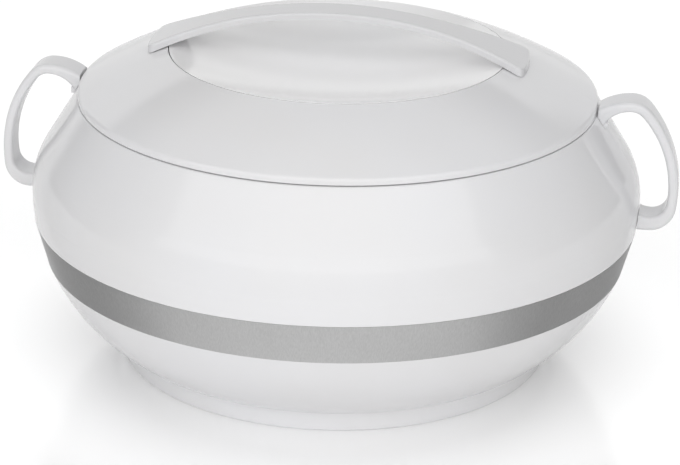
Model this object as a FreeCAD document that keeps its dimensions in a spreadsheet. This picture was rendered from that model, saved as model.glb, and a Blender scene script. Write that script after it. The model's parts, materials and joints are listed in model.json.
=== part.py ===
import FreeCAD, Part
import math
import os
import re
import Sketcher

# Insulated casserole for flat breads. Millimetres, +Z up, handles along X.
# The origin is the centre of the ring that the foot stands on.

# Driving dimensions: name, value, meaning.
DIMENSIONS = (
    ("belly_radius", 130.0, "outer radius of the pot at its widest"),
    ("belly_height", 74.0, "height of the widest ring"),
    ("belly_tuck", 33.4, "how much narrower the belly is at the joint with the base"),
    ("shoulder_share", 0.631, "radius of the shoulder as a share of the one that would reach the neck"),
    ("shell_top", 111.0, "height of the shell's top face, under the collar"),
    ("shell_wall", 2.5, "wall of the outer shell"),
    ("mouth_flange", 4.0, "height of the shell's inward flange at the mouth"),
    ("foot_height", 10.0, "height of the joint between shell and base"),
    ("foot_step", 1.8, "how far the foot stands back from the belly at the joint"),
    ("foot_taper", 2.5, "how much narrower the foot is at the table"),
    ("foot_wall", 2.5, "wall of the foot ring"),
    ("foot_chamfer", 0.6, "chamfer at the foot's outer bottom edge"),
    ("base_recess", 5.5, "height of the base plate's underside over the table"),
    ("base_plate", 2.4, "thickness of the base plate"),
    ("spigot_rise", 4.0, "height of the base's spigot inside the shell"),
    ("base_hole", 9.0, "radius of the foaming hole in the base"),
    ("lid_hole", 7.0, "radius of the foaming hole in the lid's liner"),
    ("plug_flange", 2.5, "how far a plug's head reaches past its hole"),
    ("plug_head", 1.2, "thickness of a plug's head"),
    ("plug_wall", 1.5, "wall of a plug's skirt"),
    ("band_bottom", 45.2, "height of the band's lower edge"),
    ("band_width", 17.4, "height of the metal band"),
    ("band_depth", 0.6, "depth of the shell's recess behind the band's edges"),
    ("band_sheet", 0.5, "thickness of the metal band"),
    ("bowl_radius", 101.5, "inner radius of the steel bowl at its mouth"),
    ("bowl_draft", 3.5, "how much narrower the bowl is at the bottom corner"),
    ("bowl_corner", 14.0, "inner radius of the bowl's bottom corner"),
    ("bowl_floor", 24.0, "height of the bowl's floor"),
    ("bowl_sheet", 0.6, "thickness of the bowl's steel"),
    ("bowl_flange", 6.0, "width of the bowl's flange under the collar"),
    ("bowl_bend", 1.0, "size of the bevel where the bowl's wall turns out"),
    ("rim_width", 10.8, "width of the pot's rim between the bowl's mouth and the neck"),
    ("collar_height", 3.2, "height of the collar's seat over the shell's top"),
    ("collar_step", 1.9, "how far the collar stands back from the bowl's mouth"),
    ("collar_lip", 0.65, "how far the collar's edge reaches outside the lid"),
    ("collar_edge", 0.4, "bevel of the collar's outer edge"),
    ("ledge_drop", 0.5, "depth of the collar's ledge below the seat, the open seam"),
    ("seat_gap", 0.4, "gap between the collar's seat and the skirt of the lid's rim"),
    ("lid_step", 2.1, "how far the lid stands back from the neck"),
    ("rim_wall", 3.0, "wall of the lid at its rim"),
    ("rim_rise", 2.56, "height of the dome's edge over the seat, before it is rounded"),
    ("lid_round", 2.2, "rounding between the lid's rim and its dome"),
    ("dome_arc", 221.0, "radius of the lid's dome"),
    ("lid_wall", 2.2, "wall of the lid"),
    ("dish_radius", 71.5, "outer radius of the recessed dish"),
    ("dish_depth", 10.0, "depth of the dish below its edge"),
    ("dish_wall", 2.0, "wall of the dish"),
    ("dish_seam", 0.45, "open seam round the dish"),
    ("dish_rim", 2.4, "height of the dish's edge on its ledge"),
    ("dish_relief", 0.95, "gap between the dish and the foam's flat facets under it"),
    ("ledge_width", 3.0, "width of the ledge that carries the dish"),
    ("ledge_back", 2.6, "how far the ledge is thickened outside the seam"),
    ("bar_rise", 5.5, "height of the bar's middle over the dome's centre"),
    ("bar_thickness", 2.8, "thickness of the bar at its middle"),
    ("bar_end", 3.0, "thickness of the bar's ends over the dome"),
    ("bar_half_width", 7.7, "half the bar's width at its middle"),
    ("bar_flare_start", 26.0, "where the bar starts to widen"),
    ("bar_end_half_width", 15.6, "half the bar's width at its ends"),
    ("bar_seat", 9.0, "length of the bar's seat on the dome outside the dish"),
    ("bar_corner", 3.0, "rounding of the bar's corners seen from above"),
    ("bar_edge", 1.0, "rounding of the bar's upper edges"),
    ("bar_fix_step", 5.0, "distance of the bar's screws outside the dish"),
    ("bar_socket_depth", 3.6, "depth of a bar spigot's socket in the dome"),
    ("spigot_radius", 3.0, "radius of the spigots of bar and handles"),
    ("boss_radius", 4.5, "radius of the screw bosses"),
    ("boss_floor", 2.5, "thickness of a boss between the spigot and the screw's head"),
    ("screw_radius", 1.5, "outer radius of the screws' threads"),
    ("screw_head_radius", 2.9, "radius of the screws' heads"),
    ("screw_head", 2.0, "height of the screws' heads"),
    ("handle_screw", 9.0, "length of a handle's screw under its head"),
    ("bar_screw", 6.4, "length of a bar screw under its head"),
    ("pilot_end", 0.5, "free depth of a screw's hole past its tip"),
    ("thread_gap", 0.05, "radial gap round a screw in its spigot"),
    ("screw_gap", 0.2, "radial gap round a screw in its boss"),
    ("liner_gap", 1.3, "gap between the lid's liner and the bowl's mouth"),
    ("liner_draft", 1.2, "how much narrower the liner is at its bottom"),
    ("liner_depth", 8.8, "how far the liner reaches below the seat"),
    ("liner_wall", 2.0, "wall of the liner"),
    ("liner_flange", 1.5, "thickness of the liner's flange under the lid's rim"),
    ("liner_corner", 2.5, "bevel of the liner's bottom edge"),
    ("handle_out", 15.9, "how far a handle reaches outside the belly"),
    ("side_share", 0.2, "how far up the shoulder's rise a handle reaches furthest"),
    ("arch_rise", 9.8, "height of a handle's arch over the shell's top"),
    ("arch_inset", 21.3, "how far inside its reach a handle's arch is highest"),
    ("leg_drop", 9.6, "depth of a handle's lower side below the widest ring"),
    ("handle_top_arc", 10.5, "radius of a handle's outline over its arch"),
    ("handle_low_arc", 11.0, "radius of a handle's outline at its lower corner"),
    ("handle_thickness", 4.2, "thickness of a handle's strap"),
    ("leg_thickness", 6.0, "thickness of a handle's lower leg"),
    ("handle_half_width", 8.0, "half a handle's width at its roots"),
    ("grip_half_width", 5.7, "half a handle's width at its grip"),
    ("handle_edge", 2.0, "rounding of a handle's outer edges"),
    ("handle_inner_edge", 1.4, "rounding of a handle's inner edges"),
    ("root_rise", 4.8, "height of a handle's upper root over the shell's top"),
    ("root_drop", 5.0, "depth of the root's underside below the shell's top"),
    ("root_flare", 2.6, "how much a handle's lower root thickens at the belly"),
    ("tongue_half_width", 6.0, "half the width of a handle's tongue"),
    ("tongue_thickness", 2.6, "thickness of the tongue under the collar"),
    ("tongue_reach", 3.3, "how far the tongue reaches inside the neck"),
    ("fix_drop", 7.0, "depth of a handle's spigot below the widest ring"),
    ("handle_socket_depth", 5.3, "depth of a handle spigot's socket in the belly"),
    ("fit_gap", 0.15, "gap between pieces of the same assembly"),
    ("cut_margin", 5.0, "how far a cutting shape runs past what it cuts"),
)

# Sizes that follow from the driving ones, so that pieces that meet keep meeting.
DERIVED = {
    "joint_radius": "belly_radius - belly_tuck",
    "lower_arc": "(belly_tuck^2 + (belly_height - foot_height)^2) / (2 * belly_tuck)",
    "neck_radius": "bowl_radius + rim_width",
    "shoulder_inset": "belly_radius - neck_radius",
    "shoulder_rise": "shell_top - belly_height",
    "shoulder_arc": "shoulder_share * (shoulder_inset^2 + shoulder_rise^2) / (2 * shoulder_inset)",
    "foot_top_radius": "joint_radius - foot_step",
    "foot_radius": "foot_top_radius - foot_taper",
    "bowl_foot": "bowl_radius - bowl_draft",
    "flange_radius": "bowl_radius + bowl_sheet + bowl_flange",
    "collar_top": "shell_top + collar_height",
    "collar_ledge": "collar_top - ledge_drop",
    "collar_inner": "bowl_radius + collar_step",
    "lid_radius": "neck_radius - lid_step",
    "rim_inner": "lid_radius - rim_wall",
    "seat_radius": "rim_inner - seat_gap",
    "dome_apex": "collar_top + rim_rise + dome_arc - sqrt(dome_arc^2 - lid_radius^2)",
    "liner_radius": "bowl_radius - liner_gap",
    "liner_foot": "liner_radius - liner_draft",
    "liner_bottom": "collar_top - liner_depth",
    "bar_top": "dome_apex + bar_rise",
    "bar_reach": "dish_radius + bar_seat",
    "bar_fall": "bar_top - bar_end - (dome_apex - dome_arc + sqrt(dome_arc^2 - bar_reach^2))",
    "bar_arc": "(bar_reach^2 + bar_fall^2) / (2 * bar_fall)",
    "bar_fix": "dish_radius + bar_fix_step",
    "bar_socket_floor": "dome_apex - dome_arc + sqrt(dome_arc^2 - bar_fix^2) - bar_socket_depth",
    "bar_boss_bottom": "bar_socket_floor - boss_floor",
    "handle_reach": "belly_radius + handle_out",
    "handle_side_height": "belly_height + side_share * shoulder_rise",
    "handle_top": "shell_top + arch_rise",
    "handle_bottom": "belly_height - leg_drop",
    "arch_x": "handle_reach - arch_inset",
    "arch_z": "handle_top - handle_top_arc",
    "handle_side_arc": "(arch_inset^2 + (arch_z - handle_side_height)^2 - handle_top_arc^2)"
                       " / (2 * (arch_inset - handle_top_arc))",
    "side_x": "handle_reach - handle_side_arc",
    "root_top": "shell_top + root_rise",
    "root_low": "shell_top - root_drop",
    "tongue_start": "neck_radius - tongue_reach",
    "handle_fix_height": "belly_height - fix_drop",
    "handle_socket_floor": "belly_radius - lower_arc + sqrt(lower_arc^2 - fix_drop^2) - handle_socket_depth",
    "handle_boss_face": "handle_socket_floor - boss_floor",
}

NAMES = [name for name, _, _ in DIMENSIONS]
WORD = re.compile(r"[a-z][a-z0-9_]*")

doc = FreeCAD.newDocument("casserole")
sheet = doc.addObject("Spreadsheet::Sheet", "dims")
for row, (name, size, meaning) in enumerate(DIMENSIONS, start=1):
    sheet.set(f"A{row}", name)
    sheet.set(f"B{row}", str(size))
    sheet.set(f"C{row}", meaning)
    sheet.setAlias(f"B{row}", name)
doc.recompute()


def bound(formula):
    """The formula written out in driving dimensions, each name pointing at its cell."""
    def cell(match):
        word = match.group()
        if word in DERIVED:
            return f"({bound(DERIVED[word])})"
        return f"dims.{word}" if word in NAMES else word
    return WORD.sub(cell, formula)


def value(formula):
    """The number that a formula gives with the present dimensions."""
    return float(sheet.evalExpression(bound(formula)))


# Outlines shared by pieces that touch.

LOWER_CENTRE = "belly_radius - lower_arc"
SHOULDER_CENTRE = "(belly_radius - shoulder_arc)"
SHOULDER_RUN = "(shoulder_arc - shoulder_inset)"
SHOULDER_ANGLE = (
    f"(atan2(shoulder_rise; {SHOULDER_RUN})"
    f" - acos(shoulder_arc / sqrt(shoulder_rise^2 + {SHOULDER_RUN}^2)))"
)
DOME_CENTRE = "(dome_apex - dome_arc)"


def lower_radius(height, inset="0"):
    """Radius of the belly below the widest ring, moved inwards by inset."""
    return f"{LOWER_CENTRE} + sqrt((lower_arc - ({inset}))^2 - (belly_height - ({height}))^2)"


def lower_point(share, inset):
    """Point of the lower belly at a share of the arc from the joint to the widest ring."""
    angle = f"(asin((belly_height - foot_height) / (lower_arc - shell_wall)) * {round(1 - share, 3)})"
    return (
        f"{LOWER_CENTRE} + (lower_arc - {inset}) * cos({angle})",
        f"belly_height - (lower_arc - {inset}) * sin({angle})",
    )


def shoulder_point(share, inset="0"):
    """Point of the shoulder's arc at a share of its angle above the widest ring."""
    angle = f"({SHOULDER_ANGLE} * {share})"
    return (
        f"{SHOULDER_CENTRE} + (shoulder_arc - ({inset})) * cos({angle})",
        f"belly_height + (shoulder_arc - ({inset})) * sin({angle})",
    )


def neck_radius_at(height, inset="0"):
    """Radius of the straight shoulder at a height below the shell's top, moved inwards."""
    lean = f"tan({SHOULDER_ANGLE})"
    return f"neck_radius + (shell_top - ({height})) * {lean} - ({inset}) / cos({SHOULDER_ANGLE})"


def dome_height(radius, inset="0"):
    """Height of the lid's dome at a radius, moved inwards by inset."""
    return f"{DOME_CENTRE} + sqrt((dome_arc - ({inset}))^2 - ({radius})^2)"


DISH_EDGE = f"({dome_height('dish_radius')})"
DISH_ARC = "((dish_radius^2 + dish_depth^2) / (2 * dish_depth))"
DISH_CENTRE = f"({DISH_EDGE} - dish_depth + {DISH_ARC})"


def dish_height(radius, below="0"):
    """Height of the dish at a radius, or of its underside at a distance below it."""
    return f"{DISH_CENTRE} - sqrt(({DISH_ARC} + ({below}))^2 - ({radius})^2)"


# Drawing and feature helpers.

ORIGIN_POINT = (-1, 1)
AXIS_ACROSS = -1
AXIS_UP = -2
START, END, CENTRE = 1, 2, 3


def new_body(name):
    body = doc.addObject("PartDesign::Body", name)
    body.Label = name
    return body


def new_sketch(body, name, plane, offset=None):
    """A sketch on one of the body's own origin planes, moved along its normal by offset."""
    sketch = body.newObject("Sketcher::SketchObject", name)
    support = [face for face in body.Origin.OriginFeatures if face.Role == plane][0]
    sketch.AttachmentSupport = [(support, "")]
    sketch.MapMode = "FlatFace"
    if offset is not None:
        sketch.setExpression(".AttachmentOffset.Base.z", bound(offset))
    return sketch


def pin_point(sketch, edge, end, across, up):
    """Tie one end of an edge to the origin by two formulas."""
    for kind, axis, formula in (("DistanceX", AXIS_UP, across), ("DistanceY", AXIS_ACROSS, up)):
        size = value(formula)
        if abs(size) < 1e-9:
            sketch.addConstraint(Sketcher.Constraint("PointOnObject", edge, end, axis))
            continue
        ends = (*ORIGIN_POINT, edge, end) if size > 0 else (edge, end, *ORIGIN_POINT)
        index = sketch.addConstraint(Sketcher.Constraint(kind, *ends, abs(size)))
        signed = formula if size > 0 else f"-({formula})"
        sketch.setExpression(f"Constraints[{index}]", bound(signed))


def add_arc(sketch, first, last, radius, left):
    """A short arc from first to last with its centre on the left or right of the way."""
    chord = last - first
    half = chord.Length / 2
    side = FreeCAD.Vector(-chord.y, chord.x, 0).normalize()
    centre = (first + last) * 0.5 + side * math.sqrt(radius**2 - half**2) * (1 if left else -1)
    start, end = (first, last) if left else (last, first)
    turn = [math.atan2(p.y - centre.y, p.x - centre.x) for p in (start, end)]
    if turn[1] < turn[0]:
        turn[1] += 2 * math.pi
    circle = Part.Circle(centre, FreeCAD.Vector(0, 0, 1), radius)
    return sketch.addGeometry(Part.ArcOfCircle(circle, *turn), False)


def draw_loop(sketch, points, arcs=None):
    """A closed outline through points; arcs gives (radius, "left" or "right") by edge number."""
    arcs = arcs or {}
    places = [FreeCAD.Vector(value(across), value(up), 0) for across, up in points]
    ends = []
    for number, first in enumerate(places):
        last = places[(number + 1) % len(places)]
        if number in arcs:
            radius, side = arcs[number]
            left = side == "left"
            edge = add_arc(sketch, first, last, value(radius), left)
            ends.append((edge, START, END) if left else (edge, END, START))
            index = sketch.addConstraint(Sketcher.Constraint("Radius", edge, value(radius)))
            sketch.setExpression(f"Constraints[{index}]", bound(radius))
        else:
            edge = sketch.addGeometry(Part.LineSegment(first, last), False)
            ends.append((edge, START, END))
    for number, (edge, start, _) in enumerate(ends):
        before, _, before_end = ends[number - 1]
        sketch.addConstraint(Sketcher.Constraint("Coincident", before, before_end, edge, start))
        pin_point(sketch, edge, start, *points[number])


def draw_circle(sketch, across, up, radius):
    centre = FreeCAD.Vector(value(across), value(up), 0)
    circle = Part.Circle(centre, FreeCAD.Vector(0, 0, 1), value(radius))
    edge = sketch.addGeometry(circle, False)
    index = sketch.addConstraint(Sketcher.Constraint("Radius", edge, value(radius)))
    sketch.setExpression(f"Constraints[{index}]", bound(radius))
    pin_point(sketch, edge, CENTRE, across, up)


def turn(body, name, points, arcs=None, cut=False):
    """Revolve an outline of (radius, height) about the pot's axis, added or cut."""
    sketch = new_sketch(body, f"{name}_outline", "XZ_Plane")
    draw_loop(sketch, points, arcs)
    kind = "PartDesign::Groove" if cut else "PartDesign::Revolution"
    feature = body.newObject(kind, name)
    feature.Profile = sketch
    feature.ReferenceAxis = (sketch, ["V_Axis"])
    feature.Angle = 360
    return feature


def extrude(body, name, sketch, length, cut=False, reverse=False, both=False):
    """Pad or pocket a sketch by a length; both spreads the length over the two sides."""
    feature = body.newObject("PartDesign::Pocket" if cut else "PartDesign::Pad", name)
    feature.Profile = sketch
    feature.Type = "Length"
    feature.SideType = "Symmetric" if both else "One side"
    feature.Reversed = reverse
    feature.Length = value(length)
    feature.setExpression("Length", bound(length))
    return feature


def repeat_opposite(body, name, features):
    """Repeat features on the other side of the axis."""
    pattern = body.newObject("PartDesign::PolarPattern", name)
    pattern.Originals = features
    pattern.Axis = ([axis for axis in body.Origin.OriginFeatures if axis.Role == "Z_Axis"][0], [""])
    pattern.Angle = 360
    pattern.Occurrences = 2
    body.Tip = pattern
    return pattern


LEVEL = "level"


def is_like(face, bend):
    """Whether a face is a cylinder of a radius, or level."""
    surface = face.Surface
    if bend == LEVEL:
        return isinstance(surface, Part.Plane) and abs(surface.Axis.z) > 0.99
    return isinstance(surface, Part.Cylinder) and abs(surface.Radius - bend) < 1e-4


def round_edges(body, name, base, radius, *groups):
    """Fillet the edges of the base feature at which a face of every group's bends meets."""
    doc.recompute()
    bends = [[bend if bend == LEVEL else value(bend) for bend in group] for group in groups]
    chosen = []
    for number, edge in enumerate(base.Shape.Edges, start=1):
        faces = base.Shape.ancestorsOfType(edge, Part.Face)
        if all(any(is_like(face, bend) for face in faces for bend in group) for group in bends):
            chosen.append(f"Edge{number}")
    fillet = body.newObject("PartDesign::Fillet", name)
    fillet.Base = (base, chosen)
    fillet.Radius = value(radius)
    fillet.setExpression("Radius", bound(radius))
    body.Tip = fillet
    return fillet


# The pot.

WALL_SHARES = (0.3, 0.6, 0.85)


def shell_inside(inset):
    """Straight-faceted inner side of the shell from the joint up to the flange, moved inwards."""
    points = [lower_point(share, inset) for share in WALL_SHARES]
    points += [shoulder_point(share, inset) for share in (0.2, 1)]
    return points


def make_outer_body():
    body = new_body("outer_body")
    under_flange = "shell_top - mouth_flange"
    bowl_outside = "bowl_radius + bowl_sheet"
    outline = [
        (lower_radius("foot_height"), "foot_height"),
        ("belly_radius", "belly_height"),
        shoulder_point(1),
        ("neck_radius", "shell_top"),
        (f"{bowl_outside} + bowl_bend + fit_gap", "shell_top"),
        (f"{bowl_outside} + bowl_bend + fit_gap", under_flange),
        (neck_radius_at(under_flange, "shell_wall"), under_flange),
        *reversed(shell_inside("shell_wall")),
        (lower_radius("foot_height", "shell_wall"), "foot_height"),
    ]
    arcs = {0: ("lower_arc", "left"), 1: ("shoulder_arc", "left")}
    turn(body, "shell", outline, arcs)

    band_top = "band_bottom + band_width + fit_gap"
    recess = [
        (f"{lower_radius('band_bottom')} - band_depth", "band_bottom"),
        ("belly_radius + cut_margin", "band_bottom"),
        ("belly_radius + cut_margin", band_top),
        (f"{lower_radius(band_top)} - band_depth", band_top),
    ]
    turn(body, "band_recess", recess, cut=True)

    boss = new_sketch(body, "boss_circle", "YZ_Plane", "handle_boss_face")
    draw_circle(boss, "0", "handle_fix_height", "boss_radius")
    wall_middle = f"{lower_radius('handle_fix_height - boss_radius')} - shell_wall / 2"
    boss_pad = extrude(body, "handle_boss", boss, f"{wall_middle} - handle_boss_face")

    socket = new_sketch(body, "socket_circle", "YZ_Plane", "handle_socket_floor")
    draw_circle(socket, "0", "handle_fix_height", "spigot_radius + fit_gap")
    past_wall = "belly_radius + cut_margin - handle_socket_floor"
    socket_cut = extrude(body, "handle_socket", socket, past_wall, cut=True, reverse=True)

    hole = new_sketch(body, "screw_circle", "YZ_Plane", "handle_boss_face")
    draw_circle(hole, "0", "handle_fix_height", "screw_radius + screw_gap")
    hole_cut = extrude(body, "handle_screw_hole", hole, "boss_floor", cut=True, reverse=True)

    notch = new_sketch(body, "notch_outline", "XY_Plane", "shell_top")
    side = "tongue_half_width + fit_gap"
    inner, outer = "tongue_start - fit_gap", "neck_radius + cut_margin"
    draw_loop(notch, [(inner, f"-({side})"), (outer, f"-({side})"), (outer, side), (inner, side)])
    notch_cut = extrude(body, "tongue_notch", notch, "tongue_thickness", cut=True)

    repeat_opposite(body, "handle_fixings", [boss_pad, socket_cut, hole_cut, notch_cut])
    return body


def make_base_cover():
    body = new_body("base_cover")
    plate_top = "base_recess + base_plate"
    spigot_outside = f"{lower_radius('foot_height', 'shell_wall')} - fit_gap"
    outline = [
        ("foot_radius - foot_wall", "0"),
        ("foot_radius - foot_chamfer", "0"),
        ("foot_radius", "foot_chamfer"),
        ("foot_top_radius", "foot_height"),
        (spigot_outside, "foot_height"),
        (spigot_outside, "foot_height + spigot_rise"),
        (f"{spigot_outside} - foot_wall", "foot_height + spigot_rise"),
        (f"{spigot_outside} - foot_wall", plate_top),
        ("base_hole", plate_top),
        ("base_hole", "base_recess"),
        ("foot_radius - foot_wall", "base_recess"),
    ]
    turn(body, "foot_and_plate", outline)
    return body


def make_plug(name, hole, face, plate):
    """A snap plug: head under the plate, skirt through the hole."""
    body = new_body(name)
    skirt = f"{hole} - fit_gap"
    rise = f"{face} + {plate} + plug_wall"
    outline = [
        ("0", f"{face} - plug_head"),
        (f"{hole} + plug_flange", f"{face} - plug_head"),
        (f"{hole} + plug_flange", face),
        (skirt, face),
        (skirt, rise),
        (f"{skirt} - plug_wall", rise),
        (f"{skirt} - plug_wall", face),
        ("0", face),
    ]
    turn(body, "head_and_skirt", outline)
    return body


def make_trim_band():
    """A rolled strip: straight between its two edges, a glue line off the recess."""
    body = new_body("trim_band")
    top = "band_bottom + band_width"
    inside = "band_depth - fit_gap"
    outline = [
        (f"{lower_radius('band_bottom')} - ({inside})", "band_bottom"),
        (f"{lower_radius('band_bottom')} - ({inside}) + band_sheet", "band_bottom"),
        (f"{lower_radius(top)} - ({inside}) + band_sheet", top),
        (f"{lower_radius(top)} - ({inside})", top),
    ]
    turn(body, "strip", outline)
    return body


def bowl_side(inset):
    """Outline points of the bowl's floor, corner and wall, moved outwards by inset."""
    return [
        ("0", f"bowl_floor - ({inset})"),
        ("bowl_foot - bowl_corner", f"bowl_floor - ({inset})"),
        (f"bowl_foot + ({inset})", "bowl_floor + bowl_corner"),
    ]


def make_inner_bowl():
    body = new_body("inner_bowl")
    top = "shell_top + bowl_sheet"
    outline = [
        *bowl_side("bowl_sheet"),
        ("bowl_radius + bowl_sheet", "shell_top - bowl_bend"),
        ("bowl_radius + bowl_sheet + bowl_bend", "shell_top"),
        ("flange_radius", "shell_top"),
        ("flange_radius", top),
        ("bowl_radius + bowl_bend", top),
        ("bowl_radius", f"{top} - bowl_bend"),
        *reversed(bowl_side("0")),
    ]
    arcs = {1: ("bowl_corner + bowl_sheet", "left"), 9: ("bowl_corner", "right")}
    turn(body, "drawn_sheet", outline, arcs)
    return body


def make_rim_collar():
    body = new_body("rim_collar")
    over_flange = "shell_top + bowl_sheet"
    outline = [
        ("flange_radius + fit_gap", "shell_top"),
        ("neck_radius", "shell_top"),
        ("lid_radius + collar_lip", "collar_ledge - collar_edge"),
        ("lid_radius + collar_lip - collar_edge", "collar_ledge"),
        ("seat_radius", "collar_ledge"),
        ("seat_radius", "collar_top"),
        ("collar_inner", "collar_top"),
        ("collar_inner", over_flange),
        ("flange_radius + fit_gap", over_flange),
    ]
    turn(body, "ring", outline)
    return body


def make_body_insulation():
    """Foam between shell and bowl, from the base plate up to the flange."""
    body = new_body("body_insulation")
    under_flange = "shell_top - mouth_flange"
    bowl_gap = "bowl_sheet + fit_gap"
    bevel = f"(bowl_corner + {bowl_gap}) * tan(22.5)"
    shell_gap = "(shell_wall + fit_gap)"
    plate_top = "base_recess + base_plate"
    spigot_inside = f"{lower_radius('foot_height', 'shell_wall')} - foot_wall - 2 * fit_gap"
    spigot_top = "foot_height + spigot_rise"
    shell_side = shell_inside(shell_gap)
    outline = [
        ("base_hole", plate_top),
        (spigot_inside, plate_top),
        (spigot_inside, spigot_top),
        (f"{lower_radius('foot_height', 'shell_wall')} - fit_gap", spigot_top),
        *shell_side,
        (neck_radius_at(under_flange, shell_gap), under_flange),
        (f"bowl_radius + {bowl_gap}", under_flange),
        (f"bowl_foot + {bowl_gap}", "bowl_floor + bowl_corner"),
        (f"bowl_foot + {bowl_gap}", f"bowl_floor + bowl_corner - {bevel}"),
        (f"bowl_foot - bowl_corner + {bevel}", f"bowl_floor - ({bowl_gap})"),
        ("base_hole", f"bowl_floor - ({bowl_gap})"),
    ]
    turn(body, "foam", outline)

    pocket = new_sketch(body, "pocket_circle", "YZ_Plane", "handle_boss_face - screw_head - fit_gap")
    draw_circle(pocket, "0", "handle_fix_height", "boss_radius + fit_gap")
    past_wall = "belly_radius - handle_boss_face + screw_head"
    cut = extrude(body, "boss_pocket", pocket, past_wall, cut=True, reverse=True)
    repeat_opposite(body, "boss_pockets", [cut])
    return body


# The side handles.

ARCH = ("arch_x", "arch_z")


def low_centre(height, arc, side_arc):
    """Centre of a lower corner's arc at a height, where it can run into the long side arc."""
    across = f"(side_x + sqrt(({side_arc} - ({arc}))^2 - ({height} - handle_side_height)^2))"
    return across, f"({height})"


LOW_ARC_INSIDE = "(handle_low_arc - handle_thickness)"
LOW = low_centre("(handle_bottom + handle_low_arc)", "handle_low_arc", "handle_side_arc")
LOW_INSIDE = low_centre(f"(handle_bottom + leg_thickness + {LOW_ARC_INSIDE})", LOW_ARC_INSIDE,
                        "(handle_side_arc - handle_thickness)")


def side_touch(centre, arc):
    """Where a corner arc of a handle's outline runs into the long side arc."""
    across, up = centre
    reach = f"sqrt(({across} - side_x)^2 + ({up} - handle_side_height)^2)"
    return (
        f"{across} + ({arc}) * ({across} - side_x) / {reach}",
        f"{up} + ({arc}) * ({up} - handle_side_height) / {reach}",
    )


def join_arc(run, rise):
    """Radius of the arc that starts level and ends a run and a rise away."""
    return f"((({run})^2 + ({rise})^2) / (2 * ({rise})))"


def make_side_handle(name, half_turn):
    """A strap bent to a D: side outline, narrowed to a grip, trimmed to the pot, then its fixings."""
    body = new_body(name)
    root_x = "(lid_radius - collar_lip)"
    leg_x = "(belly_radius - shell_wall)"
    inner_top = "handle_top - handle_thickness"
    inner_low = "(handle_bottom + leg_thickness)"
    outline = [
        (root_x, "root_top"),
        ("neck_radius", "root_low"),
        ("arch_x", inner_top),
        side_touch(ARCH, "handle_top_arc - handle_thickness"),
        side_touch(LOW_INSIDE, LOW_ARC_INSIDE),
        (LOW_INSIDE[0], inner_low),
        (leg_x, f"{inner_low} + root_flare"),
        (leg_x, "handle_bottom"),
        (LOW[0], "handle_bottom"),
        side_touch(LOW, "handle_low_arc"),
        side_touch(ARCH, "handle_top_arc"),
        ("arch_x", "handle_top"),
    ]
    root_arc = join_arc(f"arch_x - {root_x}", "handle_top - root_top")
    root_arc_inside = join_arc("arch_x - neck_radius", f"{inner_top} - root_low")
    leg_arc_inside = join_arc(f"{LOW_INSIDE[0]} - {leg_x}", "root_flare")
    inside = (root_arc_inside, "handle_top_arc - handle_thickness",
              "handle_side_arc - handle_thickness", LOW_ARC_INSIDE, leg_arc_inside)
    outside = ("handle_low_arc", "handle_side_arc", "handle_top_arc", root_arc)
    arcs = {edge: (arc, "right") for edge, arc in enumerate(inside, start=1)}
    arcs.update({edge: (arc, "left") for edge, arc in enumerate(outside, start=8)})
    side = new_sketch(body, "side_outline", "XZ_Plane")
    draw_loop(side, outline, arcs)
    extrude(body, "strap", side, "2 * (handle_half_width + cut_margin)", both=True)

    half_height = "((handle_top - handle_bottom) / 2)"
    middle = "((handle_top + handle_bottom) / 2)"
    waist_arc = join_arc(half_height, "handle_half_width - grip_half_width")
    reach = f"({half_height} + cut_margin)"
    edge_at_reach = f"grip_half_width + {waist_arc} - sqrt({waist_arc}^2 - {reach}^2)"
    outer_edge = "handle_half_width + 2 * cut_margin"
    for sign, bend in (("", "left"), ("-", "right")):
        waist = new_sketch(body, f"waist_{bend}", "YZ_Plane")
        loop = [
            (f"{sign}({edge_at_reach})", f"{middle} - {reach}"),
            (f"{sign}({outer_edge})", f"{middle} - {reach}"),
            (f"{sign}({outer_edge})", f"{middle} + {reach}"),
            (f"{sign}({edge_at_reach})", f"{middle} + {reach}"),
        ]
        draw_loop(waist, loop, {3: (waist_arc, bend)})
        extrude(body, f"waist_cut_{bend}", waist, "2 * (handle_reach + cut_margin)", cut=True,
                both=True)

    soft = round_edges(body, "outer_edges", body.Tip, "handle_edge", (waist_arc,),
                       (*outside, LEVEL))
    round_edges(body, "inner_edges", soft, "handle_inner_edge", (waist_arc,), inside)

    below, above = "handle_bottom - cut_margin", "handle_top + cut_margin"
    beside_lid = "lid_radius + collar_lip + fit_gap"
    pot = [
        ("0", below),
        (lower_radius(below, "-fit_gap"), below),
        ("belly_radius + fit_gap", "belly_height"),
        shoulder_point(1, "-fit_gap"),
        ("neck_radius + fit_gap", "shell_top"),
        (beside_lid, "collar_ledge - collar_edge"),
        (beside_lid, above),
        ("0", above),
    ]
    turn(body, "pot_side", pot, {1: ("lower_arc + fit_gap", "left"),
                                 2: ("shoulder_arc + fit_gap", "left")}, cut=True)

    tongue = new_sketch(body, "tongue_outline", "XY_Plane", "shell_top")
    inner, outer = "tongue_start", "(neck_radius + tongue_thickness)"
    draw_loop(tongue, [(inner, "-tongue_half_width"), (outer, "-tongue_half_width"),
                       (outer, "tongue_half_width"), (inner, "tongue_half_width")])
    extrude(body, "tongue", tongue, "tongue_thickness - fit_gap", reverse=True)

    spigot = new_sketch(body, "spigot_circle", "YZ_Plane", "handle_socket_floor")
    draw_circle(spigot, "0", "handle_fix_height", "spigot_radius")
    extrude(body, "spigot", spigot, "belly_radius + shell_wall - handle_socket_floor")

    pilot = new_sketch(body, "pilot_circle", "YZ_Plane", "handle_socket_floor")
    draw_circle(pilot, "0", "handle_fix_height", "screw_radius + thread_gap")
    depth = "handle_screw - boss_floor + pilot_end"
    body.Tip = extrude(body, "pilot_hole", pilot, depth, cut=True, reverse=True)
    if half_turn:
        body.Placement = FreeCAD.Placement(FreeCAD.Vector(), FreeCAD.Rotation(180, 0, 0))
    return body


# The lid.


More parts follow.
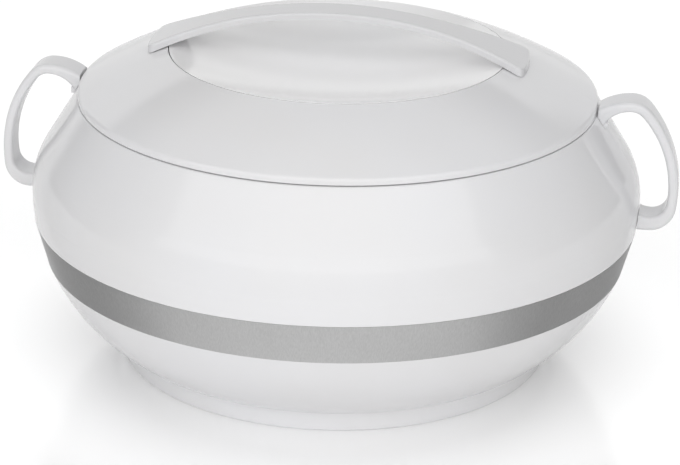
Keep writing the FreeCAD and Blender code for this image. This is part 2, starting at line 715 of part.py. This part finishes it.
def rim_round():
    """Ends of the rounding between the lid's rim and its dome."""
    centre_r = "(lid_radius - lid_round)"
    centre_z = f"({DOME_CENTRE} + sqrt((dome_arc - lid_round)^2 - {centre_r}^2))"
    share = "dome_arc / (dome_arc - lid_round)"
    low = ("lid_radius", centre_z)
    high = (f"{centre_r} * {share}", f"{DOME_CENTRE} + ({centre_z} - {DOME_CENTRE}) * {share}")
    return low, high


def make_lid_cover():
    body = new_body("lid_cover")
    low, high = rim_round()
    hole = "(dish_radius + dish_seam)"
    ledge_top = f"{DISH_EDGE} - dish_rim"
    ledge_under = f"{DISH_EDGE} - dish_rim - lid_wall"
    ledge_inner = "(dish_radius - ledge_width)"
    ledge_outer = f"({hole} + ledge_back)"
    facet = f"(({ledge_outer} + rim_inner) / 2)"
    outline = [
        ("rim_inner", "collar_top"),
        ("lid_radius", "collar_top"),
        low,
        high,
        (hole, dome_height(hole)),
        (hole, ledge_top),
        (ledge_inner, ledge_top),
        (ledge_inner, ledge_under),
        (ledge_outer, ledge_under),
        (facet, dome_height(facet, "lid_wall")),
        ("rim_inner", dome_height("rim_inner", "lid_wall")),
    ]
    arcs = {2: ("lid_round", "left"), 3: ("dome_arc", "left")}
    turn(body, "dome", outline, arcs)

    boss = new_sketch(body, "boss_circle", "XY_Plane", "bar_boss_bottom")
    draw_circle(boss, "bar_fix", "0", "boss_radius")
    boss_top = dome_height("bar_fix + boss_radius", "lid_wall / 2")
    boss_pad = extrude(body, "bar_boss", boss, f"{boss_top} - bar_boss_bottom")

    socket = new_sketch(body, "socket_circle", "XY_Plane", "bar_socket_floor")
    draw_circle(socket, "bar_fix", "0", "spigot_radius + fit_gap")
    socket_cut = extrude(body, "bar_socket", socket, "dome_apex - bar_socket_floor",
                         cut=True, reverse=True)

    hole_sketch = new_sketch(body, "screw_circle", "XY_Plane", "bar_boss_bottom")
    draw_circle(hole_sketch, "bar_fix", "0", "screw_radius + screw_gap")
    hole_cut = extrude(body, "bar_screw_hole", hole_sketch, "boss_floor", cut=True, reverse=True)
    repeat_opposite(body, "bar_fixings", [boss_pad, socket_cut, hole_cut])
    return body


def make_lid_dish():
    body = new_body("lid_dish")
    rim_bottom = f"{DISH_EDGE} - dish_rim"
    inner = "(dish_radius - ledge_width - fit_gap)"
    under = [(f"{inner} * {share}", dish_height(f"{inner} * {share}", "dish_wall"))
             for share in (1, 0.75, 0.5)]
    outline = [
        ("0", f"{DISH_EDGE} - dish_depth"),
        ("0", f"{DISH_EDGE} - dish_depth - dish_wall"),
        (f"{inner} * 0.25", dish_height(f"{inner} * 0.25", "dish_wall")),
        *reversed(under),
        (inner, rim_bottom),
        ("dish_radius", rim_bottom),
        ("dish_radius", DISH_EDGE),
    ]
    turn(body, "cup", outline, {8: (DISH_ARC, "right")})
    return body


def bar_height(across):
    """Height of the bar's top face at a distance from the middle."""
    return f"bar_top - bar_arc + sqrt(bar_arc^2 - ({across})^2)"


def make_lid_bar():
    """The bar as seen from above, cut to an arched strap, softened, and seated on the dome."""
    body = new_body("lid_bar")
    end_x = "sqrt(bar_reach^2 - bar_end_half_width^2)"
    corners = [
        ("-bar_flare_start", "bar_half_width"),
        (f"-{end_x}", "bar_end_half_width"),
        (f"-{end_x}", "-bar_end_half_width"),
        ("-bar_flare_start", "-bar_half_width"),
        ("bar_flare_start", "-bar_half_width"),
        (end_x, "-bar_end_half_width"),
        (end_x, "bar_end_half_width"),
        ("bar_flare_start", "bar_half_width"),
    ]
    flare = join_arc(f"{end_x} - bar_flare_start", "bar_end_half_width - bar_half_width")
    arcs = {edge: (flare, "right") for edge in (0, 2, 4, 6)}
    arcs.update({edge: ("bar_reach", "left") for edge in (1, 5)})
    below, above, far = "bar_boss_bottom", "(bar_top + cut_margin)", "(bar_reach + cut_margin)"
    seen_from_above = new_sketch(body, "seen_from_above", "XY_Plane", below)
    draw_loop(seen_from_above, corners, arcs)
    extrude(body, "blank", seen_from_above, f"{above} - {below}")

    over = new_sketch(body, "over_the_arch", "XZ_Plane")
    draw_loop(over, [(f"-{far}", bar_height(far)), (far, bar_height(far)), (far, above),
                     (f"-{far}", above)], {0: ("bar_arc", "right")})
    extrude(body, "arch_top", over, f"2 * {far}", cut=True, both=True)

    hole = "(dish_radius + dish_seam)"
    under_middle = "(bar_top - bar_thickness)"
    under_arc = join_arc(hole, f"{under_middle} - ({dome_height(hole, '-fit_gap')})")
    under_end = f"{under_middle} - {under_arc} + sqrt({under_arc}^2 - {far}^2)"
    low = f"{below} - 2 * cut_margin"
    under = new_sketch(body, "under_the_arch", "XZ_Plane")
    draw_loop(under, [(f"-{far}", low), (far, low), (far, under_end), (f"-{far}", under_end)],
              {2: (under_arc, "left")})
    arch = extrude(body, "arch_underside", under, f"2 * {far}", cut=True, both=True)

    corner = round_edges(body, "rounded_corners", arch, "bar_corner", ("bar_reach",), (flare,))
    round_edges(body, "soft_edges", corner, "bar_edge", ("bar_arc",))

    inner = "(dish_radius - cut_margin)"
    dome = [
        ("0", low),
        (far, low),
        (far, dome_height(far, "-fit_gap")),
        (inner, dome_height(inner, "-fit_gap")),
        ("0", dome_height(inner, "-fit_gap")),
    ]
    turn(body, "dome_side", dome, {2: ("dome_arc + fit_gap", "left")}, cut=True)

    spigot = new_sketch(body, "spigot_circle", "XY_Plane", "bar_socket_floor")
    draw_circle(spigot, "bar_fix", "0", "spigot_radius")
    spigot_top = f"{bar_height('bar_fix + spigot_radius')} - bar_edge"
    spigot_pad = extrude(body, "spigot", spigot, f"{spigot_top} - bar_socket_floor")
    pilot = new_sketch(body, "pilot_circle", "XY_Plane", "bar_socket_floor")
    draw_circle(pilot, "bar_fix", "0", "screw_radius + thread_gap")
    depth = "bar_screw - boss_floor + pilot_end"
    pilot_cut = extrude(body, "pilot_hole", pilot, depth, cut=True, reverse=True)
    repeat_opposite(body, "bar_ends", [spigot_pad, pilot_cut])
    return body


def make_lid_liner():
    """The pan that closes the lid from below and drops into the bowl's mouth."""
    body = new_body("lid_liner")
    outline = [
        ("lid_hole", "liner_bottom"),
        ("liner_foot - liner_corner", "liner_bottom"),
        ("liner_foot", "liner_bottom + liner_corner"),
        ("liner_radius", "collar_top"),
        ("rim_inner - fit_gap", "collar_top"),
        ("rim_inner - fit_gap", "collar_top + liner_flange"),
        ("liner_radius - liner_wall", "collar_top + liner_flange"),
        ("liner_foot - liner_wall", "liner_bottom + liner_corner + liner_wall / 2"),
        ("liner_foot - liner_corner - liner_wall / 2", "liner_bottom + liner_wall"),
        ("lid_hole", "liner_bottom + liner_wall"),
    ]
    turn(body, "pan", outline)
    return body


def make_lid_insulation():
    """Foam between the liner and the lid, under the ledge and the dish."""
    body = new_body("lid_insulation")
    floor = "liner_bottom + liner_wall"
    flange_top = "collar_top + liner_flange"
    ledge_outer = "(dish_radius + dish_seam + ledge_back)"
    facet = f"(({ledge_outer} + rim_inner) / 2)"
    inner = "(dish_radius - ledge_width - fit_gap)"
    under_dish = "dish_wall + dish_relief"
    ledge_under = f"{DISH_EDGE} - dish_rim - lid_wall"
    outline = [
        ("lid_hole", floor),
        ("liner_foot - liner_corner - liner_wall", floor),
        ("liner_foot - liner_wall - fit_gap", "liner_bottom + liner_corner + liner_wall"),
        ("liner_radius - liner_wall - fit_gap", flange_top),
        ("rim_inner - rim_wall", flange_top),
        (facet, f"{dome_height(facet, 'lid_wall')} - fit_gap"),
        (f"{ledge_outer} - fit_gap", ledge_under),
        (inner, ledge_under),
        (f"{inner} * 0.5", dish_height(f"{inner} * 0.5", under_dish)),
        ("lid_hole", dish_height("lid_hole", under_dish)),
    ]
    turn(body, "foam", outline)
    pocket = new_sketch(body, "pocket_circle", "XY_Plane", "bar_boss_bottom - screw_head - fit_gap")
    draw_circle(pocket, "bar_fix", "0", "boss_radius + fit_gap")
    past_foam = "bar_top - bar_boss_bottom"
    cut = extrude(body, "boss_pocket", pocket, past_foam, cut=True, reverse=True)
    repeat_opposite(body, "boss_pockets", [cut])
    return body


# Screws: two of each kind, on opposite sides of the axis.


def make_screw_pair(name, upright, length, head_face, across, up):
    """Pan-headed screws in one node; the second is the first one's mirror image."""
    turned = FreeCAD.Rotation(FreeCAD.Vector(0, 0, 1), FreeCAD.Vector(0, 0, 1) if upright
                              else FreeCAD.Vector(1, 0, 0))
    pieces = []
    for label, radius, rod_length, start in (
        ("head", "screw_head_radius", "screw_head", f"{head_face} - screw_head"),
        ("shank", "screw_radius", length, head_face),
    ):
        rod = doc.addObject("Part::Cylinder", f"{name}_{label}")
        rod.setExpression("Radius", bound(radius))
        rod.setExpression("Height", bound(rod_length))
        x, z = (across, start) if upright else (start, up)
        rod.Placement = FreeCAD.Placement(FreeCAD.Vector(value(x), 0, value(z)), turned)
        rod.setExpression(".Placement.Base.x", bound(x))
        rod.setExpression(".Placement.Base.z", bound(z))
        pieces.append(rod)
    screw = doc.addObject("Part::MultiFuse", f"{name}_one")
    screw.Shapes = pieces
    other = doc.addObject("Part::Mirroring", f"{name}_other")
    other.Source = screw
    other.Normal = FreeCAD.Vector(1, 0, 0)
    pair = doc.addObject("Part::Compound", name)
    pair.Label = name
    pair.Links = [screw, other]
    return pair


def make_all():
    return [
        make_outer_body(),
        make_base_cover(),
        make_plug("base_plug", "base_hole", "base_recess", "base_plate"),
        make_trim_band(),
        make_inner_bowl(),
        make_rim_collar(),
        make_body_insulation(),
        make_side_handle("handle_right", False),
        make_side_handle("handle_left", True),
        make_screw_pair("handle_screws", False, "handle_screw", "handle_boss_face", "",
                        "handle_fix_height"),
        make_lid_cover(),
        make_lid_dish(),
        make_lid_bar(),
        make_lid_liner(),
        make_lid_insulation(),
        make_plug("lid_plug", "lid_hole", "liner_bottom", "liner_wall"),
        make_screw_pair("lid_bar_screws", True, "bar_screw", "bar_boss_bottom", "bar_fix", ""),
    ]


def write_parts(nodes):
    """Stop at anything that failed, then write one file for each piece."""
    doc.recompute()
    failed = [item.Label for item in doc.Objects if {"Invalid", "Error"} & set(item.State)]
    if failed:
        raise RuntimeError(f"failed: {failed}")
    for node in nodes:
        if node.Shape.isNull() or not node.Shape.isValid():
            raise RuntimeError(f"{node.Label} has no valid shape")
    os.makedirs("parts", exist_ok=True)
    for node in nodes:
        node.Shape.exportStep(os.path.join("parts", f"{node.Label}.step"))
        print(f"{node.Label}: {len(node.Shape.Solids)} solid(s), {node.Shape.Volume:.0f} mm3")


write_parts(make_all())
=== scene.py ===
import json
import math

import bpy
from mathutils import Matrix, Vector

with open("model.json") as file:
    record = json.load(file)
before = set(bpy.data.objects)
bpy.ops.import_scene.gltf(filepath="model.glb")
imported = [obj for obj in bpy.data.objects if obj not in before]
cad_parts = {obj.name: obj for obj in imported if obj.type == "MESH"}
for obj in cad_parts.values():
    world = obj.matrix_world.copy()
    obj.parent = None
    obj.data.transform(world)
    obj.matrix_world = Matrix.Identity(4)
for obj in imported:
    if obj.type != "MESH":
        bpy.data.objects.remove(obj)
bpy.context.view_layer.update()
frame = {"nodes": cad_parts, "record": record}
nodes = frame["nodes"]

# Camera: it looks down at the pot from the front, a little from the right. Distance and height are in
# metres, the lens and the sensor in millimetres.
CAMERA_TURN = math.radians(8.5)
CAMERA_DISTANCE = 1.0908
CAMERA_HEIGHT = 0.4883
CAMERA_PITCH = math.radians(21.87)
CAMERA_YAW = math.radians(0.1)
CAMERA_ROLL = math.radians(1.04)
FOCAL_LENGTH = 143.6
SENSOR_WIDTH = 36.0

# Colours, linear. The mouldings are one white plastic; the whites of the recess, the bar and the handles
# are painted light and shade, the recess lighter and the bar and the handles darker, to make up for what
# the light gives each of them.
WHITE = (0.80, 0.80, 0.815, 1)
DISH_PAINTED_LIGHT_WHITE = (0.95, 0.95, 0.96, 1)
BAR_PAINTED_SHADE_WHITE = (0.70, 0.70, 0.715, 1)
HANDLE_PAINTED_SHADE_WHITE = (0.74, 0.74, 0.755, 1)
INNER_WHITE = (0.74, 0.74, 0.74, 1)
BAND_GREY = (0.60, 0.60, 0.60, 1)
STEEL_GREY = (0.60, 0.60, 0.59, 1)
SCREW_GREY = (0.55, 0.55, 0.55, 1)
FOAM_YELLOW = (0.72, 0.62, 0.36, 1)
FLOOR_WHITE = (0.88, 0.88, 0.88, 1)
PLAIN_WHITE = (1, 1, 1, 1)
WARM_TINT = (0.985, 0.98, 0.97)

# Surfaces: how fine the rubs and the grain are along X, Y and Z, where more is finer, how high above the
# floor the foot is scuffed, and how much of the gloss plastic's bump is orange peel.
RUB_STRETCH = (260, 260, 2600)
GRAIN_STRETCH = (2400, 2400, 60)
SCUFF_HEIGHT = 0.004
PEEL_SHARE = 0.12
PLASTIC_IOR = 1.5
BAND_ANISOTROPY = 0.92
BAND_GRAIN_TURN = 0.25

# The middle of a noise's values, and the places of the colours among a mix node's sockets.
NOISE_MIDDLE = (0.3, 0.7)
MIX_COLOUR_A, MIX_COLOUR_B, MIX_COLOUR_OUT = 6, 7, 2


# Node helpers.


def new_material(name):
    material = bpy.data.materials.new(name)
    material.use_nodes = True
    tree = material.node_tree
    return material, tree, tree.nodes["Principled BSDF"]


def add(tree, kind, inputs=None, **settings):
    """A node with its settings and its plain input values."""
    node = tree.nodes.new(kind)
    for key, setting in settings.items():
        setattr(node, key, setting)
    for socket, plain in (inputs or {}).items():
        node.inputs[socket].default_value = plain
    return node


def object_place(tree, scale=(1, 1, 1)):
    """The point on the piece in its own coordinates, in metres, stretched by scale."""
    place = add(tree, "ShaderNodeTexCoord")
    mapping = add(tree, "ShaderNodeMapping", {"Scale": scale})
    tree.links.new(place.outputs["Object"], mapping.inputs["Vector"])
    return mapping.outputs["Vector"]


def split_place(tree, place):
    """The three coordinates of a point, one by one."""
    node = add(tree, "ShaderNodeSeparateXYZ")
    tree.links.new(place, node.inputs["Vector"])
    return node.outputs


def noise(tree, place, scale, detail=2.0):
    node = add(tree, "ShaderNodeTexNoise", {"Scale": scale, "Detail": detail})
    tree.links.new(place, node.inputs["Vector"])
    return node.outputs["Fac"]


def remap(tree, value, span=NOISE_MIDDLE, to=(0.0, 1.0)):
    """The value with span drawn out, or in, to the two values of to."""
    node = add(tree, "ShaderNodeMapRange", {"From Min": span[0], "From Max": span[1],
                                            "To Min": to[0], "To Max": to[1]})
    tree.links.new(value, node.inputs["Value"])
    return node.outputs["Result"]


def ramp(tree, value, edge, rises=True):
    """A soft step from 0 to 1 between the two values of edge, or from 1 to 0."""
    start, end = (0.0, 1.0) if rises else (1.0, 0.0)
    node = add(tree, "ShaderNodeMapRange", {"From Min": edge[0], "From Max": edge[1],
                                            "To Min": start, "To Max": end},
               interpolation_type="SMOOTHSTEP")
    tree.links.new(value, node.inputs["Value"])
    return node.outputs["Result"]


def combine(tree, operation, *terms):
    """A calculation with one or two terms, each a node's value or a plain number."""
    node = add(tree, "ShaderNodeMath", operation=operation)
    for socket, term in zip(node.inputs, terms):
        if isinstance(term, (int, float)):
            socket.default_value = term
        else:
            tree.links.new(term, socket)
    return node.outputs["Value"]


def blend_colours(tree, share, first, second):
    node = add(tree, "ShaderNodeMix", data_type="RGBA")
    node.inputs[MIX_COLOUR_A].default_value = first
    node.inputs[MIX_COLOUR_B].default_value = second
    tree.links.new(share, node.inputs["Factor"])
    return node.outputs[MIX_COLOUR_OUT]


def bump(tree, shader, height, strength, distance):
    node = add(tree, "ShaderNodeBump", {"Strength": strength, "Distance": distance})
    tree.links.new(height, node.inputs["Height"])
    tree.links.new(node.outputs["Normal"], shader.inputs["Normal"])


def axis_distance(tree, point):
    squares = combine(tree, "ADD", combine(tree, "POWER", point["X"], 2.0),
                      combine(tree, "POWER", point["Y"], 2.0))
    return combine(tree, "SQRT", squares)


def ring_place(tree):
    """Distance from the axis and height as a flat coordinate, for marks that run round."""
    point = split_place(tree, add(tree, "ShaderNodeTexCoord").outputs["Object"])
    joined = add(tree, "ShaderNodeCombineXYZ")
    tree.links.new(axis_distance(tree, point), joined.inputs["X"])
    tree.links.new(point["Z"], joined.inputs["Z"])
    return joined.outputs["Vector"]


def shade(colour, share):
    return tuple(share * channel for channel in colour[:3]) + (1,)


# Materials.


def glossy_plastic(name, white):
    """White gloss moulding: faint uneven tint, orange peel, fine rub marks, scuffs at the foot."""
    material, tree, shader = new_material(name)
    warm = tuple(tint * channel for tint, channel in zip(WARM_TINT, white)) + (1,)
    place = object_place(tree)
    clouds = remap(tree, noise(tree, place, scale=14.0), span=(0.35, 0.65))
    tree.links.new(blend_colours(tree, clouds, white, warm), shader.inputs["Base Color"])

    smudge = remap(tree, noise(tree, place, scale=26.0, detail=4.0), span=(0.4, 0.7), to=(0.06, 0.11))
    rub_noise = noise(tree, object_place(tree, RUB_STRETCH), scale=1.0, detail=1.0)
    rubs = remap(tree, rub_noise, span=(0.64, 0.78), to=(0.0, 0.07))
    height_above_floor = split_place(tree, place)["Z"]
    scuff = remap(tree, height_above_floor, span=(0.0, SCUFF_HEIGHT), to=(0.22, 0.0))
    roughness = combine(tree, "ADD", combine(tree, "ADD", smudge, rubs), scuff)
    tree.links.new(roughness, shader.inputs["Roughness"])
    shader.inputs["IOR"].default_value = PLASTIC_IOR

    peel = noise(tree, place, scale=620.0, detail=1.0)
    waves = noise(tree, place, scale=45.0, detail=1.0)
    height = combine(tree, "ADD", combine(tree, "MULTIPLY", peel, PEEL_SHARE), waves)
    bump(tree, shader, height, strength=0.10, distance=0.0006)
    return material


def satin_plastic():
    """Inner mouldings: a white with a fine spark-eroded grain."""
    material, tree, shader = new_material("white_satin_plastic")
    place = object_place(tree)
    shader.inputs["Base Color"].default_value = INNER_WHITE
    rough = remap(tree, noise(tree, place, scale=40.0, detail=3.0), span=(0.35, 0.7), to=(0.34, 0.46))
    tree.links.new(rough, shader.inputs["Roughness"])
    bump(tree, shader, noise(tree, place, scale=2600.0, detail=1.0), strength=0.22, distance=0.0001)
    return material


def satin_band():
    """Rolled strip with a fine upright grain and a little uneven sheen."""
    material, tree, shader = new_material("satin_steel_band")
    shader.inputs["Metallic"].default_value = 1.0
    grain = noise(tree, object_place(tree, GRAIN_STRETCH), scale=1.0)
    tone = blend_colours(tree, remap(tree, grain), shade(BAND_GREY, 0.93), shade(BAND_GREY, 1.07))
    tree.links.new(tone, shader.inputs["Base Color"])
    cloud = noise(tree, object_place(tree), scale=18.0, detail=3.0)
    rough = combine(tree, "ADD", remap(tree, cloud, to=(0.53, 0.59)), remap(tree, grain, to=(-0.03, 0.03)))
    tree.links.new(rough, shader.inputs["Roughness"])
    bump(tree, shader, grain, strength=0.12, distance=0.00005)

    around = add(tree, "ShaderNodeTangent", direction_type="RADIAL", axis="Z")
    tree.links.new(around.outputs["Tangent"], shader.inputs["Tangent"])
    shader.inputs["Anisotropic"].default_value = BAND_ANISOTROPY
    shader.inputs["Anisotropic Rotation"].default_value = BAND_GRAIN_TURN
    return material


def spun_steel():
    """Bowl steel with the fine rings that spinning and polishing leave."""
    material, tree, shader = new_material("spun_steel")
    shader.inputs["Metallic"].default_value = 1.0
    place = ring_place(tree)
    rings = noise(tree, place, scale=1500.0, detail=3.0)
    broad = noise(tree, place, scale=120.0, detail=1.0)
    both = remap(tree, combine(tree, "ADD", rings, broad), span=(0.7, 1.3))
    tone = blend_colours(tree, both, shade(STEEL_GREY, 0.92), STEEL_GREY)
    tree.links.new(tone, shader.inputs["Base Color"])
    tree.links.new(remap(tree, rings, to=(0.16, 0.28)), shader.inputs["Roughness"])
    bump(tree, shader, rings, strength=0.10, distance=0.00004)
    return material


def screw_steel():
    """Plated steel with a fine mottle."""
    material, tree, shader = new_material("plated_steel")
    shader.inputs["Metallic"].default_value = 1.0
    mottle = remap(tree, noise(tree, object_place(tree), scale=900.0))
    tone = blend_colours(tree, mottle, shade(SCREW_GREY, 0.8), SCREW_GREY)
    tree.links.new(tone, shader.inputs["Base Color"])
    tree.links.new(remap(tree, mottle, span=(0.0, 1.0), to=(0.25, 0.4)), shader.inputs["Roughness"])
    return material


def foam():
    """Rigid foam: small cells in a pale yellow."""
    material, tree, shader = new_material("rigid_foam")
    cells = add(tree, "ShaderNodeTexVoronoi", {"Scale": 900.0})
    tree.links.new(object_place(tree), cells.inputs["Vector"])
    pores = cells.outputs["Distance"]
    tone = blend_colours(tree, pores, shade(FOAM_YELLOW, 0.8), FOAM_YELLOW)
    tree.links.new(tone, shader.inputs["Base Color"])
    shader.inputs["Roughness"].default_value = 0.85
    bump(tree, shader, pores, strength=0.5, distance=0.0004)
    return material


def finish_nodes():
    """Give every piece the material of its slot in the record, and the recess, the bar and the handles a
    lighter or darker copy of the white as painted light and shade.
    """
    made = {
        "shell_white": glossy_plastic("white_gloss_plastic", WHITE),
        "inner_white": satin_plastic(),
        "satin_band": satin_band(),
        "bowl_steel": spun_steel(),
        "screw_steel": screw_steel(),
        "foam": foam(),
    }
    for subpart in frame["record"]["subparts"]:
        piece = nodes[subpart["node"]]
        piece.data.materials.clear()
        piece.data.materials.append(made[subpart["material_slot"]])

    # Copies of the gloss white with painted light on the recess and painted shade on the bar and the
    # handles.
    dish_painted_light_plastic = glossy_plastic("white_gloss_dish_painted_light", DISH_PAINTED_LIGHT_WHITE)
    bar_painted_shade_plastic = glossy_plastic("white_gloss_bar_painted_shade", BAR_PAINTED_SHADE_WHITE)
    handle_painted_shade_plastic = glossy_plastic("white_gloss_handle_painted_shade", HANDLE_PAINTED_SHADE_WHITE)
    for name, painted_copy_plastic in (("lid_dish", dish_painted_light_plastic), ("lid_bar", bar_painted_shade_plastic),
                              ("handle_right", handle_painted_shade_plastic), ("handle_left", handle_painted_shade_plastic)):
        nodes[name].data.materials[0] = painted_copy_plastic


# Floor: its size, its polish, its glow, the further glow that only the camera sees, and the distances from
# the axis between which both glows come in, in metres; inside them the floor is darker, a painted shadow
# round the foot.

FLOOR_RADIUS = 6.0
FLOOR_POINTS = 96
FLOOR_POLISH = 0.32
FLOOR_GLOW = 0.18
PAPER_GLOW = 0.17
PAINTED_SHADOW_EDGE = (0.05, 0.16)


def floor_material():
    """A pale polished floor that keeps the shadow, mirrors the pot a little and glows away from it, with a
    painted shadow where the glow fades toward the foot.
    """
    material, tree, shader = new_material("floor_white")
    shader.inputs["Base Color"].default_value = FLOOR_WHITE
    shader.inputs["Specular IOR Level"].default_value = 0.0
    place = object_place(tree)
    polish = add(tree, "ShaderNodeBsdfGlossy")
    tree.links.new(remap(tree, noise(tree, place, scale=6.0), to=(0.16, 0.20)), polish.inputs["Roughness"])
    coated = add(tree, "ShaderNodeMixShader", {"Fac": FLOOR_POLISH})
    tree.links.new(shader.outputs["BSDF"], coated.inputs[1])
    tree.links.new(polish.outputs["BSDF"], coated.inputs[2])

    # Both glows fade out toward the foot: a painted shadow round the pot's base.
    glow_past_painted_shadow = ramp(tree, axis_distance(tree, split_place(tree, place)), PAINTED_SHADOW_EDGE)
    path = add(tree, "ShaderNodeLightPath")
    seen = combine(tree, "MULTIPLY", path.outputs["Is Camera Ray"], PAPER_GLOW)
    strength = combine(tree, "MULTIPLY", combine(tree, "ADD", seen, FLOOR_GLOW), glow_past_painted_shadow)
    glow = add(tree, "ShaderNodeEmission")
    tree.links.new(strength, glow.inputs["Strength"])
    both = add(tree, "ShaderNodeAddShader")
    tree.links.new(coated.outputs["Shader"], both.inputs[0])
    tree.links.new(glow.outputs["Emission"], both.inputs[1])
    output = tree.nodes["Material Output"]
    tree.links.new(both.outputs["Shader"], output.inputs["Surface"])
    return material


def make_floor():
    turns = [2 * math.pi * n / FLOOR_POINTS for n in range(FLOOR_POINTS)]
    rim = [(FLOOR_RADIUS * math.cos(a), FLOOR_RADIUS * math.sin(a), 0) for a in turns]
    mesh = bpy.data.meshes.new("floor")
    mesh.from_pydata(rim, [], [list(range(FLOOR_POINTS))])
    mesh.materials.append(floor_material())
    floor = bpy.data.objects.new("floor", mesh)
    bpy.context.scene.collection.objects.link(floor)


# Light: how strong each field of it is. The side level is everywhere, and the other fields add to it.
SIDE_LEVEL = 0.15
FRONT_LEVEL = 0.60
CORE_LEVEL = 0.46
WINDOW_LEVEL = 0.90
BACK_LEVEL = 0.86
CEILING_LEVEL = 0.66
ZENITH_LEVEL = 1.00

# Where each field lies, in degrees. Azimuth 0 is the front and positive to the right, elevation 0 is level.
# A pair is one soft edge. Two pairs are the edge where a field rises and the edge where it falls.
FRONT_AZIMUTH = ((-84, -54), (60, 90))
CORE_AZIMUTH = ((-50, -5), (20, 65))
FRONT_TOP = (42, 60)
WINDOW_AZIMUTH = ((-64, -60), (68, 72))
WINDOW_ELEVATION = ((17, 20), (44, 50))
ZENITH_FOOT = (60, 80)

# The back and the ceiling lie outside the azimuths of their gaps.
BACK_GAP = ((-136, -124), (150, 162))
BACK_TOP = (31, 35)
CEILING_GAP = ((-128, -104), (105, 135))
CEILING_ELEVATION = ((38, 54), (62, 82))


def above(tree, angle, edge):
    return ramp(tree, angle, [math.radians(degrees) for degrees in edge])


def below(tree, angle, edge):
    return ramp(tree, angle, [math.radians(degrees) for degrees in edge], rises=False)


def between(tree, angle, edges):
    return combine(tree, "MULTIPLY", above(tree, angle, edges[0]), below(tree, angle, edges[1]))


def outside(tree, angle, edges):
    return combine(tree, "SUBTRACT", 1.0, between(tree, angle, edges))


def studio_light(tree):
    """A broad front with a brighter core and a window, a low back, a ceiling behind, a bright zenith."""
    direction = split_place(tree, add(tree, "ShaderNodeTexCoord").outputs["Generated"])
    forward = combine(tree, "MULTIPLY", direction["Y"], -1.0)
    azimuth = combine(tree, "ARCTAN2", direction["X"], forward)
    elevation = combine(tree, "ARCSINE", direction["Z"])

    low_front = below(tree, elevation, FRONT_TOP)
    front = combine(tree, "MULTIPLY", between(tree, azimuth, FRONT_AZIMUTH), low_front)
    core = combine(tree, "MULTIPLY", between(tree, azimuth, CORE_AZIMUTH), low_front)
    window = combine(tree, "MULTIPLY", between(tree, azimuth, WINDOW_AZIMUTH),
                     between(tree, elevation, WINDOW_ELEVATION))
    back = combine(tree, "MULTIPLY", outside(tree, azimuth, BACK_GAP), below(tree, elevation, BACK_TOP))
    ceiling = combine(tree, "MULTIPLY", outside(tree, azimuth, CEILING_GAP),
                      between(tree, elevation, CEILING_ELEVATION))
    zenith = above(tree, elevation, ZENITH_FOOT)

    level = SIDE_LEVEL
    for strength, field in ((FRONT_LEVEL, front), (CORE_LEVEL, core), (WINDOW_LEVEL, window),
                            (BACK_LEVEL, back), (CEILING_LEVEL, ceiling), (ZENITH_LEVEL, zenith)):
        level = combine(tree, "ADD", combine(tree, "MULTIPLY", field, strength), level)
    return level


def light_world():
    """White where the camera sees it, and the studio's light for every other ray."""
    world = bpy.data.worlds.new("studio")
    bpy.context.scene.world = world
    world.use_nodes = True
    tree = world.node_tree
    tree.nodes.clear()
    path = add(tree, "ShaderNodeLightPath")
    seen = combine(tree, "MAXIMUM", path.outputs["Is Camera Ray"], path.outputs["Is Transmission Ray"])
    studio = add(tree, "ShaderNodeBackground", {"Color": PLAIN_WHITE})
    tree.links.new(studio_light(tree), studio.inputs["Strength"])
    white = add(tree, "ShaderNodeBackground", {"Color": PLAIN_WHITE})
    mixed = add(tree, "ShaderNodeMixShader")
    tree.links.new(seen, mixed.inputs["Fac"])
    tree.links.new(studio.outputs["Background"], mixed.inputs[1])
    tree.links.new(white.outputs["Background"], mixed.inputs[2])
    output = add(tree, "ShaderNodeOutputWorld")
    tree.links.new(mixed.outputs["Shader"], output.inputs["Surface"])


def place_camera():
    data = bpy.data.cameras.new("camera")
    data.lens = FOCAL_LENGTH
    data.sensor_width = SENSOR_WIDTH
    camera = bpy.data.objects.new("camera", data)
    place = Vector((CAMERA_DISTANCE * math.sin(CAMERA_TURN), -CAMERA_DISTANCE * math.cos(CAMERA_TURN),
                    CAMERA_HEIGHT))
    aim = (Matrix.Rotation(CAMERA_TURN - CAMERA_YAW, 4, "Z")
           @ Matrix.Rotation(math.pi / 2 - CAMERA_PITCH, 4, "X")
           @ Matrix.Rotation(CAMERA_ROLL, 4, "Z"))
    camera.matrix_world = Matrix.Translation(place) @ aim
    bpy.context.scene.collection.objects.link(camera)
    bpy.context.scene.camera = camera


bpy.context.scene.view_settings.view_transform = "Standard"
finish_nodes()
make_floor()
light_world()
place_camera()
